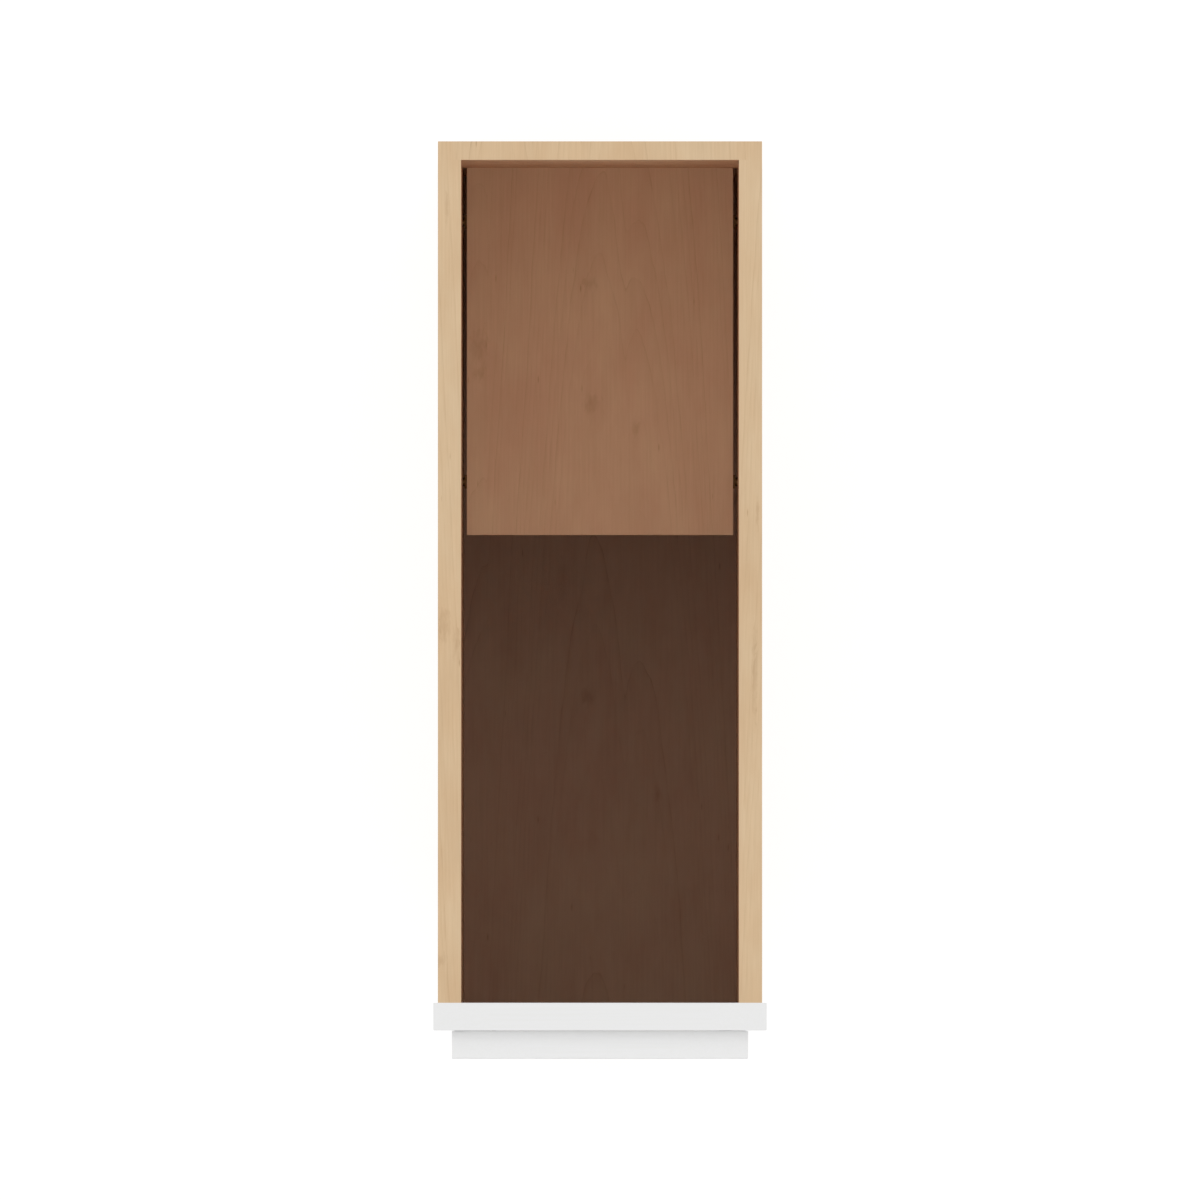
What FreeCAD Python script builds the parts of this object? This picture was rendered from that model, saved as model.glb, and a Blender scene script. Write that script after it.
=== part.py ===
# Narrow kitchen base cabinet: a plywood box, a face frame, a half-depth shelf on pins, and one door
# on two concealed single-pivot hinges. Millimetres. The origin is on the ground under the middle of
# the cabinet, +Z is up, the door faces -Y and its hinges are on the -X side.
import FreeCAD, Part
import Sketcher
import os
import re

# Driving dimensions. Each becomes one named cell of the sheet.
SIZES = {
    # box
    "frame_width": 228.6,
    "cabinet_height": 876.3,
    "box_depth": 590.55,
    "frame_overhang": 3.175,
    "side_thickness": 15.875,
    "back_thickness": 12.7,
    "floor_thickness": 12.7,
    "joint_depth": 6.35,
    "toe_height": 114.3,
    "toe_depth": 76.2,
    "toe_thickness": 12.7,
    "block_width": 19.05,
    # face frame
    "frame_thickness": 19.05,
    "frame_stile_width": 38.1,
    "frame_rail_width": 38.1,
    "frame_edge_radius": 0.8,
    "dowel_radius": 3.0,
    "dowel_reach": 13.0,
    "dowel_clearance": 0.05,
    "dowel_end_room": 0.5,
    "rail_dowel_spacing": 19.0,
    "box_dowel_margin": 70.0,
    "box_dowel_count": 4,
    # shelf and its pins
    "shelf_depth": 254.0,
    "shelf_thickness": 15.875,
    "shelf_side_gap": 3.175,
    "shelf_band": 0.8,
    "pin_radius": 3.1,
    "pin_clearance": 0.08,
    "pin_reach": 9.5,
    "pin_hole_depth": 10.5,
    "pin_tongue_reach": 14.0,
    "pin_tongue_width": 9.5,
    "pin_tongue_thickness": 2.4,
    "pin_inset": 37.0,
    "pin_first_height": 214.0,
    "pin_hole_pitch": 32.0,
    "pin_hole_count": 9,
    "pin_hole_used": 4,
    # door
    "door_reveal": 12.7,
    "door_gap": 0.25,
    "door_thickness": 19.05,
    "door_stile_width": 57.15,
    "door_rail_width": 57.15,
    "door_front_radius": 0.8,
    "door_back_radius": 0.5,
    "groove_width": 6.35,
    "groove_depth": 9.525,
    "panel_slip": 0.15,
    "panel_play": 1.5,
    "bumper_radius": 4.5,
    "bumper_clearance": 0.05,
    "bumper_bore": 1.4,
    "bumper_squash": 0.1,
    "bumper_inset": 14.0,
    # hinges
    "hinge_end_distance": 88.9,
    "cup_radius": 17.5,
    "cup_depth": 12.6,
    "cup_edge": 2.5,
    "cup_wall": 1.0,
    "cup_fit": 0.1,
    "cup_window": 12.0,
    "ear_thickness": 2.0,
    "ear_rise": 2.6,
    "ear_reach": 3.4,
    "flange_thickness": 0.7,
    "flange_length": 58.0,
    "flange_start": 8.0,
    "flange_end": 36.0,
    "flange_corner": 4.0,
    "axis_inset": 5.8,
    "axis_depth": 8.5,
    "swing_room": 0.15,
    "swing_end_room": 0.8,
    "hinge_pin_radius": 1.25,
    "hinge_pin_clearance": 0.05,
    "eye_radius": 2.2,
    "arm_width": 10.0,
    "arm_thickness": 1.8,
    "arm_dip_angle": 8.0,
    "arm_bend_radius": 9.0,
    "arm_foot_margin": 2.0,
    "plate_thickness": 2.0,
    "plate_length": 46.0,
    "plate_margin": 1.2,
    "spring_thickness": 0.5,
    "spring_length": 8.0,
    "spring_width": 8.0,
    # screws: for the box, for the hinge plates and cups, and for clamping the arms
    "screw_clearance": 0.05,
    "box_screw_radius": 1.75,
    "box_screw_head_radius": 3.6,
    "box_screw_head_height": 2.6,
    "box_screw_length": 36.0,
    "back_screw_margin": 60.0,
    "back_screw_inset": 3.9,
    "back_screw_count": 4,
    "floor_screw_margin": 90.0,
    "floor_screw_count": 3,
    "hinge_screw_radius": 1.6,
    "hinge_screw_head_radius": 3.2,
    "hinge_screw_head_height": 1.6,
    "hinge_screw_length": 14.0,
    "plate_screw_spacing": 32.0,
    "cup_screw_spacing": 45.0,
    "cup_screw_offset": 9.5,
    "arm_screw_radius": 1.5,
    "arm_screw_head_radius": 2.8,
    "arm_screw_head_height": 1.6,
    "arm_screw_length": 5.2,
    "cross_width": 0.9,
    "cross_reach": 1.8,
    "cross_depth": 1.1,
}

# Places that follow from the sizes, each a formula of sizes and of other places.
PLACES = {
    # across, from the middle plane
    "frame_half": "frame_width / 2",
    "box_half": "frame_half - frame_overhang",
    "inner_half": "box_half - side_thickness",
    "opening_half": "frame_half - frame_stile_width",
    "door_half": "frame_half - door_reveal",
    "shelf_half": "inner_half - shelf_side_gap",
    "side_middle": "box_half - side_thickness / 2",
    # from the back to the front
    "rear_y": "(box_depth + frame_thickness + door_gap + door_thickness) / 2",
    "back_inner_y": "rear_y - back_thickness",
    "shelf_front_y": "back_inner_y - shelf_depth",
    "frame_back_y": "rear_y - box_depth",
    "frame_middle_y": "frame_back_y - frame_thickness / 2",
    "frame_front_y": "frame_back_y - frame_thickness",
    "door_back_y": "frame_front_y - door_gap",
    "door_front_y": "door_back_y - door_thickness",
    "toe_front_y": "frame_front_y + toe_depth",
    # from the ground up
    "floor_top": "toe_height + frame_rail_width",
    "floor_bottom": "floor_top - floor_thickness",
    "pin_height": "floor_top + pin_first_height + pin_hole_used * pin_hole_pitch",
    "shelf_bottom": "pin_height + pin_radius",
    "shelf_top": "shelf_bottom + shelf_thickness",
    "door_bottom": "toe_height + door_reveal",
    "door_top": "cabinet_height - door_reveal",
    "door_height": "door_top - door_bottom",
    "lower_hinge": "door_bottom + hinge_end_distance",
    "upper_hinge": "door_top - hinge_end_distance",
    # hinge, seen from above
    "axis_x": "axis_inset - door_half",
    "axis_y": "door_back_y - axis_depth",
    "cup_x": "cup_edge + cup_radius - door_half",
    "arm_face_x": "plate_thickness - opening_half",
    "arm_back_y": "frame_back_y - arm_foot_margin",
    "pin_half": "cup_window / 2 + ear_thickness",
    "swing_reach": "sqrt(axis_inset ^ 2 + axis_depth ^ 2) + swing_room",
}

doc = FreeCAD.newDocument("base_cabinet")
sheet = doc.addObject("Spreadsheet::Sheet", "Sizes")
for row, (name, number) in enumerate(SIZES.items(), start=1):
    sheet.set(f"A{row}", name)
    sheet.set(f"B{row}", str(number))
    sheet.setAlias(f"B{row}", name)
doc.recompute()


def formula(text):
    """Write a formula of sizes and places as one that reads the sheet's cells."""
    def expand(match):
        word = match.group()
        if word in PLACES:
            return "(" + formula(PLACES[word]) + ")"
        return "Sizes." + word if word in SIZES else word
    return re.sub(r"[a-z][a-z_]*", expand, str(text))


def number(text):
    """The present value of a formula."""
    return float(sheet.evalExpression(formula(text)))


def spot(place):
    return FreeCAD.Vector(*(number(text) for text in place))


# A turn carries +Z to the named direction.
X, Y, Z = FreeCAD.Vector(1, 0, 0), FreeCAD.Vector(0, 1, 0), FreeCAD.Vector(0, 0, 1)
TURNS = {
    "+X": FreeCAD.Rotation(Y, 90),
    "-X": FreeCAD.Rotation(Y, -90),
    "+Y": FreeCAD.Rotation(X, -90),
    "-Y": FreeCAD.Rotation(X, 90),
    "+Z": FreeCAD.Rotation(),
}


def bind(item, **formulas):
    for name, text in formulas.items():
        item.setExpression(name, formula(text))


def seat(item, place, turn=FreeCAD.Rotation()):
    item.Placement = FreeCAD.Placement(spot(place), turn)
    for axis, text in zip("xyz", place):
        item.setExpression("Placement.Base." + axis, formula(text))
    return item


def slab(label, x, y, z):
    """A box between a low and a high formula on each axis."""
    item = doc.addObject("Part::Box", label)
    for name, (low, high) in zip(("Length", "Width", "Height"), (x, y, z)):
        bind(item, **{name: f"({high}) - ({low})"})
    return seat(item, [low for low, high in (x, y, z)])


def rod(label, radius, length, start, toward):
    item = doc.addObject("Part::Cylinder", label)
    bind(item, Radius=radius, Height=length)
    return seat(item, start, TURNS[toward])


def cone(label, wide, narrow, height, start, toward):
    item = doc.addObject("Part::Cone", label)
    bind(item, Radius1=wide, Radius2=narrow, Height=height)
    return seat(item, start, TURNS[toward])


def joined(label, items):
    item = doc.addObject("Part::MultiFuse", label)
    item.Shapes = items
    return item


def grouped(label, items):
    item = doc.addObject("Part::Compound", label)
    item.Links = items
    return item


def cut(label, base, tools):
    item = doc.addObject("Part::Cut", label)
    item.Base = base
    item.Tool = tools[0] if len(tools) == 1 else joined(label + "_tools", tools)
    return item


def rounded(label, base, rules):
    """Round the straight edges that a rule picks. Rules are pairs: a test on an edge, and a radius."""
    doc.recompute()
    item = doc.addObject("Part::Fillet", label)
    item.Base = base
    edges = []
    for index, edge in enumerate(base.Shape.Edges, start=1):
        for test, radius in rules:
            if edge.Curve.TypeId == "Part::GeomLine" and test(edge):
                edges.append((index, number(radius), number(radius)))
    item.Edges = edges
    return item


def lies(edge, axis, text):
    """True if the whole edge has this coordinate."""
    return all(abs(getattr(vertex.Point, axis) - number(text)) < 1e-6 for vertex in edge.Vertexes)


def runs(edge, axis):
    return abs(abs(getattr(edge.tangentAt(edge.FirstParameter), axis)) - 1) < 1e-6


def body(label, place, turn=FreeCAD.Rotation()):
    return seat(doc.addObject("PartDesign::Body", label), place, turn)


def sketch_in(host, role):
    sketch = host.newObject("Sketcher::SketchObject", host.Name + "_sketch")
    plane = next(feature for feature in host.Origin.OriginFeatures if feature.Role == role)
    sketch.AttachmentSupport = [(plane, "")]
    sketch.MapMode = "FlatFace"
    return sketch


def hold_point(sketch, geometry, which, place):
    """Tie a sketch point to its two formulas, or to an axis where a formula is nought."""
    for kind, axis, text in zip(("DistanceX", "DistanceY"), (-2, -1), place):
        if number(text) == 0:
            sketch.addConstraint(Sketcher.Constraint("PointOnObject", geometry, which, axis))
        else:
            rule = Sketcher.Constraint(kind, -1, 1, geometry, which, number(text))
            index = sketch.addConstraint(rule)
            sketch.setExpression(f"Constraints[{index}]", formula(text))


def outline(host, role, points):
    """A closed outline of straight lines through points given as pairs of formulas."""
    sketch = sketch_in(host, role)
    corners = [FreeCAD.Vector(number(x), number(y), 0) for x, y in points]
    for index, corner in enumerate(corners):
        sketch.addGeometry(Part.LineSegment(corner, corners[(index + 1) % len(corners)]))
    for index, place in enumerate(points):
        after = (index + 1) % len(points)
        sketch.addConstraint(Sketcher.Constraint("Coincident", index, 2, after, 1))
        hold_point(sketch, index, 1, place)
    return sketch


def rectangle(host, role, x, y):
    return outline(host, role, [(x[0], y[0]), (x[1], y[0]), (x[1], y[1]), (x[0], y[1])])


def circles(host, role, radius, places):
    sketch = sketch_in(host, role)
    for index, place in enumerate(places):
        middle = FreeCAD.Vector(number(place[0]), number(place[1]), 0)
        sketch.addGeometry(Part.Circle(middle, Z, number(radius)))
        hold_point(sketch, index, 3, place)
        size = sketch.addConstraint(Sketcher.Constraint("Radius", index, number(radius)))
        sketch.setExpression(f"Constraints[{size}]", formula(radius))
    return sketch


def pad(host, sketch, length, back=False):
    item = host.newObject("PartDesign::Pad", host.Name + "_pad")
    item.Profile = sketch
    item.Reversed = back
    bind(item, Length=length)
    return item


def pocket(host, sketch, depth, back=False):
    item = host.newObject("PartDesign::Pocket", host.Name + "_pocket")
    item.Profile = sketch
    item.Reversed = back
    bind(item, Length=depth)
    return item


def steps(low, high, count):
    """Formulas of evenly spaced places from low to high."""
    return [f"({low}) + {index} * (({high}) - ({low})) / ({count} - 1)" for index in range(int(SIZES[count]))]


# Screws. One of each kind is turned and slotted on the axis, and its copies stand where they are driven.
def screw(kind):
    """A countersunk or pan-headed screw, its head's top at the origin and its point toward -Z."""
    host = body(kind + "_pattern", ("0", "0", "0"))
    head, shank, length = (f"{kind}_head_radius", f"{kind}_radius", f"{kind}_length")
    under_head = f"-{kind}_head_height"
    pan = [(head, under_head)] if kind == "arm_screw" else []
    profile = outline(host, "XZ_Plane", [("0", "0"), (head, "0")] + pan + [
        (shank, under_head), (shank, f"{shank} - {length}"), ("0", f"-{length}"),
    ])
    turned = host.newObject("PartDesign::Revolution", host.Name + "_turned")
    turned.Profile = profile
    turned.ReferenceAxis = (profile, ["V_Axis"])
    turned.Angle = 360
    near, far = "cross_width / 2", "cross_reach"
    quarter = [(far, near), (near, near), (near, far)]
    cross = outline(host, "XY_Plane", [
        *quarter,
        *[(f"-{x}", y) for x, y in reversed(quarter)],
        *[(f"-{x}", f"-{y}") for x, y in quarter],
        *[(x, f"-{y}") for x, y in reversed(quarter)],
    ])
    pocket(host, cross, "cross_depth")
    return host


def driven(label, pattern, heads):
    """Copies of a screw. Heads are pairs: the place of the head's top, and the way the head faces."""
    doc.recompute()
    solids = []
    for place, facing in heads:
        solid = pattern.Shape.copy()
        solid.Placement = FreeCAD.Placement(spot(place), TURNS[facing]).multiply(solid.Placement)
        solids.append(solid)
    group = doc.addObject("Part::Feature", label)
    group.Shape = Part.makeCompound(solids)
    return group


OPPOSITE = {"+X": "-X", "-X": "+X", "+Y": "-Y", "-Y": "+Y"}


def screw_hole(label, kind, heads, sunk):
    """Holes for driven screws, with a countersink where the head is let into this piece."""
    tools = []
    for place, facing in heads:
        inward = OPPOSITE[facing]
        wide = f"{kind}_head_radius + screw_clearance"
        narrow = f"{kind}_radius + screw_clearance"
        tools.append(rod(label, narrow, f"{kind}_length + screw_clearance", place, inward))
        if sunk:
            tools.append(cone(label, wide, narrow, f"{kind}_head_height + screw_clearance", place, inward))
    return tools


# Where the screws stand.
back_heads = {
    hand: [((f"{sign}(inner_half + joint_depth - back_screw_inset)", "rear_y", height), "+Y")
           for height in steps("back_screw_margin", "cabinet_height - back_screw_margin", "back_screw_count")]
    for hand, sign in (("left", "-"), ("right", ""))
}
floor_heads = {
    hand: [((f"{sign}box_half", depth, "floor_top - floor_thickness / 2"), facing)
           for depth in steps("frame_back_y + floor_screw_margin", "back_inner_y - floor_screw_margin",
                              "floor_screw_count")]
    for hand, sign, facing in (("left", "-", "-X"), ("right", "", "+X"))
}
hinges = {"lower": "lower_hinge", "upper": "upper_hinge"}
plate_heads = {
    name: [(("arm_face_x", "frame_middle_y", f"{height} + {side} * plate_screw_spacing / 2"), "+X")
           for side in (-1, 1)]
    for name, height in hinges.items()
}
cup_heads = {
    name: [(("cup_x + cup_screw_offset", "door_back_y", f"{height} + {side} * cup_screw_spacing / 2"), "+Y")
           for side in (-1, 1)]
    for name, height in hinges.items()
}
arm_heads = {
    name: (("arm_face_x + arm_thickness + arm_screw_head_height", "frame_middle_y", height), "+X")
    for name, height in hinges.items()
}

box_screw = screw("box_screw")
hinge_screw = screw("hinge_screw")
arm_screw = screw("arm_screw")

# Dowels between the box and the face frame, and between the frame's stiles and rails.
dowel_heights = steps("toe_height + box_dowel_margin", "cabinet_height - box_dowel_margin", "box_dowel_count")
rail_heights = {
    rail: [f"{middle} + {side} * rail_dowel_spacing / 2" for side in (-1, 1)]
    for rail, middle in (("top", "cabinet_height - frame_rail_width / 2"),
                         ("bottom", "toe_height + frame_rail_width / 2"))
}
HOLE = "dowel_radius + dowel_clearance"
DEEP = "dowel_reach + dowel_end_room"


def side_panel(label, sign, hand):
    """A side with its toe notch, floor groove, back rebate and two rows of shelf pin holes."""
    left = hand == "left"
    host = body(hand + "_side_panel", (f"{sign}inner_half", "frame_back_y", "0"))
    notch = "toe_depth - frame_thickness"
    profile = outline(host, "YZ_Plane", [
        (notch, "0"), ("box_depth", "0"), ("box_depth", "cabinet_height"),
        ("0", "cabinet_height"), ("0", "toe_height"), (notch, "toe_height"),
    ])
    pad(host, profile, "side_thickness", back=left)
    groove = rectangle(host, "YZ_Plane", ("0", "box_depth - back_thickness"), ("floor_bottom", "floor_top"))
    pocket(host, groove, "joint_depth", back=not left)
    rebate = rectangle(host, "YZ_Plane", ("box_depth - back_thickness", "box_depth"), ("0", "cabinet_height"))
    pocket(host, rebate, "joint_depth", back=not left)
    lowest = "floor_top + pin_first_height"
    holes = circles(host, "YZ_Plane", "pin_radius + pin_clearance", [
        ("shelf_front_y + pin_inset - frame_back_y", lowest),
        ("back_inner_y - pin_inset - frame_back_y", lowest),
    ])
    first = pocket(host, holes, "pin_hole_depth", back=not left)
    doc.recompute()
    rows = host.newObject("PartDesign::LinearPattern", host.Name + "_rows")
    rows.Originals = [first]
    rows.Direction = (holes, ["V_Axis"])
    bind(rows, Length="(pin_hole_count - 1) * pin_hole_pitch", Occurrences="pin_hole_count")
    host.Tip = rows
    tools = [rod("dowel_hole", HOLE, DEEP, (f"{sign}side_middle", "frame_back_y", height), "+Y")
             for height in dowel_heights]
    tools += screw_hole("back_screw_hole", "box_screw", back_heads[hand], sunk=False)
    tools += screw_hole("floor_screw_hole", "box_screw", floor_heads[hand], sunk=True)
    return cut(label, host, tools)


def frame_stile(label, sign, hand):
    """A full-height stile with its outer front edge eased, drilled for dowels. The hinge side's is also
    drilled for the hinge plates, and coved behind the door where the door's back corner swings."""
    low, high = ("frame_half", "opening_half") if sign == "-" else ("opening_half", "frame_half")
    blank = slab(hand + "_stile_blank", (sign + low, sign + high), ("frame_front_y", "frame_back_y"),
                 ("toe_height", "cabinet_height"))
    eased = rounded(hand + "_stile_eased", blank, [
        (lambda edge: lies(edge, "x", sign + "frame_half") and lies(edge, "y", "frame_front_y"),
         "frame_edge_radius"),
    ])
    outward = "-X" if sign == "-" else "+X"
    tools = [rod("dowel_hole", HOLE, DEEP, (f"{sign}side_middle", "frame_back_y", height), "-Y")
             for height in dowel_heights]
    tools += [rod("dowel_hole", HOLE, DEEP, (f"{sign}opening_half", "frame_middle_y", height), outward)
              for heights in rail_heights.values() for height in heights]
    if hand == "left":
        for heads in plate_heads.values():
            tools += screw_hole("plate_screw_hole", "hinge_screw", heads, sunk=False)
        tools.append(rod("swing_cove", "swing_reach", "door_height + 2 * swing_end_room",
                         ("axis_x", "axis_y", "door_bottom - swing_end_room"), "+Z"))
    return cut(label, eased, tools)


def frame_rail(label, rail, low, high):
    blank = slab(rail + "_rail_blank", ("-opening_half", "opening_half"), ("frame_front_y", "frame_back_y"),
                 (low, high))
    tools = [rod("dowel_hole", HOLE, DEEP, (f"{sign}opening_half", "frame_middle_y", height), inward)
             for height in rail_heights[rail] for sign, inward in (("-", "+X"), ("", "-X"))]
    return cut(label, blank, tools)


def box_dowels(label):
    items = [rod("dowel", "dowel_radius", "2 * dowel_reach",
                 (f"{sign}side_middle", "frame_back_y - dowel_reach", height), "+Y")
             for sign in ("-", "") for height in dowel_heights]
    return grouped(label, items)


def rail_dowels(label):
    items = [rod("dowel", "dowel_radius", "2 * dowel_reach",
                 (f"{sign}opening_half - dowel_reach", "frame_middle_y", height), "+X")
             for sign in ("-", "") for heights in rail_heights.values() for height in heights]
    return grouped(label, items)


def floor_panel(label):
    blank = slab("floor_blank", ("-inner_half - joint_depth", "inner_half + joint_depth"),
                 ("frame_back_y", "back_inner_y"), ("floor_bottom", "floor_top"))
    tools = [tool for heads in floor_heads.values()
             for tool in screw_hole("floor_screw_hole", "box_screw", heads, sunk=False)]
    return cut(label, blank, tools)


def back_panel(label):
    blank = slab("back_blank", ("-inner_half - joint_depth", "inner_half + joint_depth"),
                 ("back_inner_y", "rear_y"), ("0", "cabinet_height"))
    tools = [tool for heads in back_heads.values()
             for tool in screw_hole("back_screw_hole", "box_screw", heads, sunk=True)]
    return cut(label, blank, tools)


def toe_board(label):
    return slab(label, ("-inner_half", "inner_half"), ("toe_front_y", "toe_front_y + toe_thickness"),
                ("0", "floor_bottom"))


def toe_blocks(label):
    """Glue blocks in the two corners behind the toe board."""
    back = "toe_front_y + toe_thickness"
    corners = [("-inner_half", "block_width - inner_half"), ("inner_half - block_width", "inner_half")]
    items = [slab("toe_block", x, (back, back + " + block_width"), ("0", "floor_bottom")) for x in corners]
    return grouped(label, items)


def shelf(label):
    return slab(label, ("-shelf_half", "shelf_half"), ("shelf_front_y + shelf_band", "back_inner_y"),
                ("shelf_bottom", "shelf_top"))


def shelf_edge(label):
    return slab(label, ("-shelf_half", "shelf_half"), ("shelf_front_y", "shelf_front_y + shelf_band"),
                ("shelf_bottom", "shelf_top"))


def shelf_pins(label):
    """Four pins: a round peg in the side and a flat tongue under the shelf."""
    items = []
    for sign, inward in (("-", "+X"), ("", "-X")):
        for depth in ("shelf_front_y + pin_inset", "back_inner_y - pin_inset"):
            outer = f"{sign}(inner_half + pin_reach)"
            peg = rod("pin_peg", "pin_radius", "pin_reach + shelf_side_gap",
                      (outer, depth, "pin_height"), inward)
            ends = ["inner_half - pin_tongue_reach", "inner_half - shelf_side_gap / 2"]
            x = ends if sign == "" else [f"-({text})" for text in reversed(ends)]
            tongue = slab("pin_tongue", x,
                          (f"{depth} - pin_tongue_width / 2", f"{depth} + pin_tongue_width / 2"),
                          ("pin_height + pin_radius - pin_tongue_thickness", "pin_height + pin_radius"))
            items.append(joined("shelf_pin", [peg, tongue]))
    return grouped(label, items)


def door_rounding(rims):
    """Rules that round the door's outer edges: all round in front, and the upright ones behind."""
    def on_rim(edge, axes):
        return any(lies(edge, axis, text) for axis, text in rims if axis in axes)
    return [
        (lambda edge: lies(edge, "y", "door_front_y") and on_rim(edge, "xz"), "door_front_radius"),
        (lambda edge: lies(edge, "y", "door_back_y") and on_rim(edge, "x"), "door_back_radius"),
    ]


def flange_plate(label, height, ease):
    """The hinge's flange, let into the door's back, or with ease around it the recess that takes it."""
    plate = slab(label + "_square",
                 (f"flange_start - {ease} - door_half", f"flange_end + {ease} - door_half"),
                 ("door_back_y - flange_thickness", "door_back_y"),
                 (f"{height} - flange_length / 2 - {ease}", f"{height} + flange_length / 2 + {ease}"))
    return rounded(label, plate, [(lambda edge: runs(edge, "y"), f"flange_corner + {ease}")])


BUMPER_HEIGHTS = ("door_bottom + bumper_inset", "door_top - bumper_inset")


def door_stile(label, sign, hand):
    """A stile with the panel groove along its inner edge, bored for the hinge cups or for the bumpers."""
    left = sign == "-"
    start_y = "door_front_y" if left else "door_back_y"
    host = body(hand + "_blank", (f"{sign}door_half", start_y, "door_bottom"),
                FreeCAD.Rotation(Z, 0 if left else 180))
    low = "(door_thickness - groove_width) / 2"
    high = "(door_thickness + groove_width) / 2"
    profile = outline(host, "XY_Plane", [
        ("0", "0"), ("door_stile_width", "0"), ("door_stile_width", low),
        ("door_stile_width - groove_depth", low), ("door_stile_width - groove_depth", high),
        ("door_stile_width", high), ("door_stile_width", "door_thickness"), ("0", "door_thickness"),
    ])
    pad(host, profile, "door_height")
    rim = [("x", sign + "door_half"), ("z", "door_bottom"), ("z", "door_top")]
    eased = rounded(hand + "_eased", host, door_rounding(rim))
    if not left:
        return cut(label, eased, [rod("bumper_hole", "bumper_radius + bumper_clearance", "bumper_bore",
                                      ("door_half - bumper_inset", "door_back_y", height), "-Y")
                                  for height in BUMPER_HEIGHTS])
    tools = []
    for name, height in hinges.items():
        tools.append(rod("cup_bore", "cup_radius", "cup_depth", ("cup_x", "door_back_y", height), "-Y"))
        tools.append(flange_plate(name + "_flange_recess", height, "cup_fit"))
        tools += screw_hole("cup_screw_hole", "hinge_screw", cup_heads[name], sunk=True)
    return cut(label, eased, tools)


def door_rail(label, rail, outer, inner):
    """A rail with a tongue at each end in the stiles' grooves and the panel groove along its inner edge."""
    low, high = (inner, outer) if rail == "top" else (outer, inner)
    end = "door_half - door_stile_width"
    groove_y = [f"(door_front_y + door_back_y {side} groove_width) / 2" for side in "-+"]
    groove_z = (low, f"{low} + groove_depth") if rail == "top" else (f"{high} - groove_depth", high)
    blank = slab(rail + "_door_rail_blank", (f"-({end})", end), ("door_front_y", "door_back_y"), (low, high))
    eased = rounded(rail + "_door_rail_eased", blank, door_rounding([("z", outer)]))
    tongue_z = (f"{low} + groove_depth", high) if rail == "top" else (low, f"{high} - groove_depth")
    tongue = slab(rail + "_tongue", (f"-({end} + groove_depth)", f"{end} + groove_depth"), groove_y, tongue_z)
    groove = slab(rail + "_groove", (f"-({end})", end), groove_y, groove_z)
    return cut(label, joined(rail + "_door_rail_whole", [eased, tongue]), [groove])


def door_panel(label):
    """The flat panel, loose in its grooves."""
    half = "door_half - door_stile_width + groove_depth - panel_play"
    room = "door_rail_width - groove_depth + panel_play"
    middle = "(door_front_y + door_back_y) / 2"
    thick = "(groove_width - panel_slip) / 2"
    return slab(label, (f"-({half})", half), (f"{middle} - {thick}", f"{middle} + {thick}"),
                (f"door_bottom + {room}", f"door_top - ({room})"))


def door_bumpers(label):
    """Soft discs in shallow bores, standing just proud of the door's back."""
    items = [rod("bumper", "bumper_radius", "bumper_bore + door_gap - bumper_squash",
                 ("door_half - bumper_inset", "door_back_y - bumper_bore", height), "+Y")
             for height in BUMPER_HEIGHTS]
    return grouped(label, items)


def hinge_plate(label, name, height):
    blank = slab(label + "_blank", ("-opening_half", "arm_face_x"),
                 ("frame_front_y + plate_margin", "frame_back_y - plate_margin"),
                 (f"{height} - plate_length / 2", f"{height} + plate_length / 2"))
    eased = rounded(label + "_eased", blank, [(lambda edge: runs(edge, "x"), "flange_corner")])
    tools = screw_hole("plate_screw_hole", "hinge_screw", plate_heads[name], sunk=True)
    tools += screw_hole("arm_screw_hole", "arm_screw", [arm_heads[name]], sunk=False)
    return cut(label, eased, tools)


def hinge_arm(label, name, height):
    """A steel strip bent like a swan's neck: an eye round the pivot, a dip into the cup, and a foot."""
    half = number("arm_thickness / 2")
    bend = number("arm_bend_radius")
    dip = FreeCAD.Rotation(Z, -number("arm_dip_angle"))
    ahead, inward = dip.multVec(X), dip.multVec(Y)
    pivot = spot(("axis_x", "axis_y", f"{height} - arm_width / 2"))
    foot_x = number("arm_face_x + arm_thickness / 2") - pivot.x
    foot_end = number("arm_back_y") - pivot.y
    run = (foot_x - bend - bend * inward.x) / ahead.x
    middle = ahead * run + inward * bend
    halfway = FreeCAD.Rotation(Z, 45 - number("arm_dip_angle") / 2).multVec(Y) * -1

    def neck(offset):
        """The strip's edge at this distance from its middle line: start, bend and foot."""
        radius = bend - offset
        start = inward * offset
        return (start, start + ahead * run, middle + halfway * radius, middle + X * radius,
                FreeCAD.Vector(foot_x - offset, foot_end, 0))

    near, far = neck(half), neck(-half)
    edges = [
        Part.LineSegment(near[0], near[1]),
        Part.Arc(near[1], near[2], near[3]),
        Part.LineSegment(near[3], near[4]),
        Part.LineSegment(near[4], far[4]),
        Part.LineSegment(far[4], far[3]),
        Part.Arc(far[3], far[2], far[1]),
        Part.LineSegment(far[1], far[0]),
        Part.LineSegment(far[0], near[0]),
    ]
    width = number("arm_width")
    strip = Part.Face(Part.Wire([edge.toShape() for edge in edges])).extrude(Z * width)
    eye = Part.makeCylinder(number("eye_radius"), width)
    bore = Part.makeCylinder(number("hinge_pin_radius + hinge_pin_clearance"), width)
    neck_piece = doc.addObject("Part::Feature", label + "_neck")
    neck_piece.Shape = strip.fuse(eye).cut(bore).removeSplitter()
    neck_piece.Placement = FreeCAD.Placement(pivot, FreeCAD.Rotation())
    return cut(label, neck_piece, screw_hole("arm_screw_hole", "arm_screw", [arm_heads[name]], sunk=False))


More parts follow.
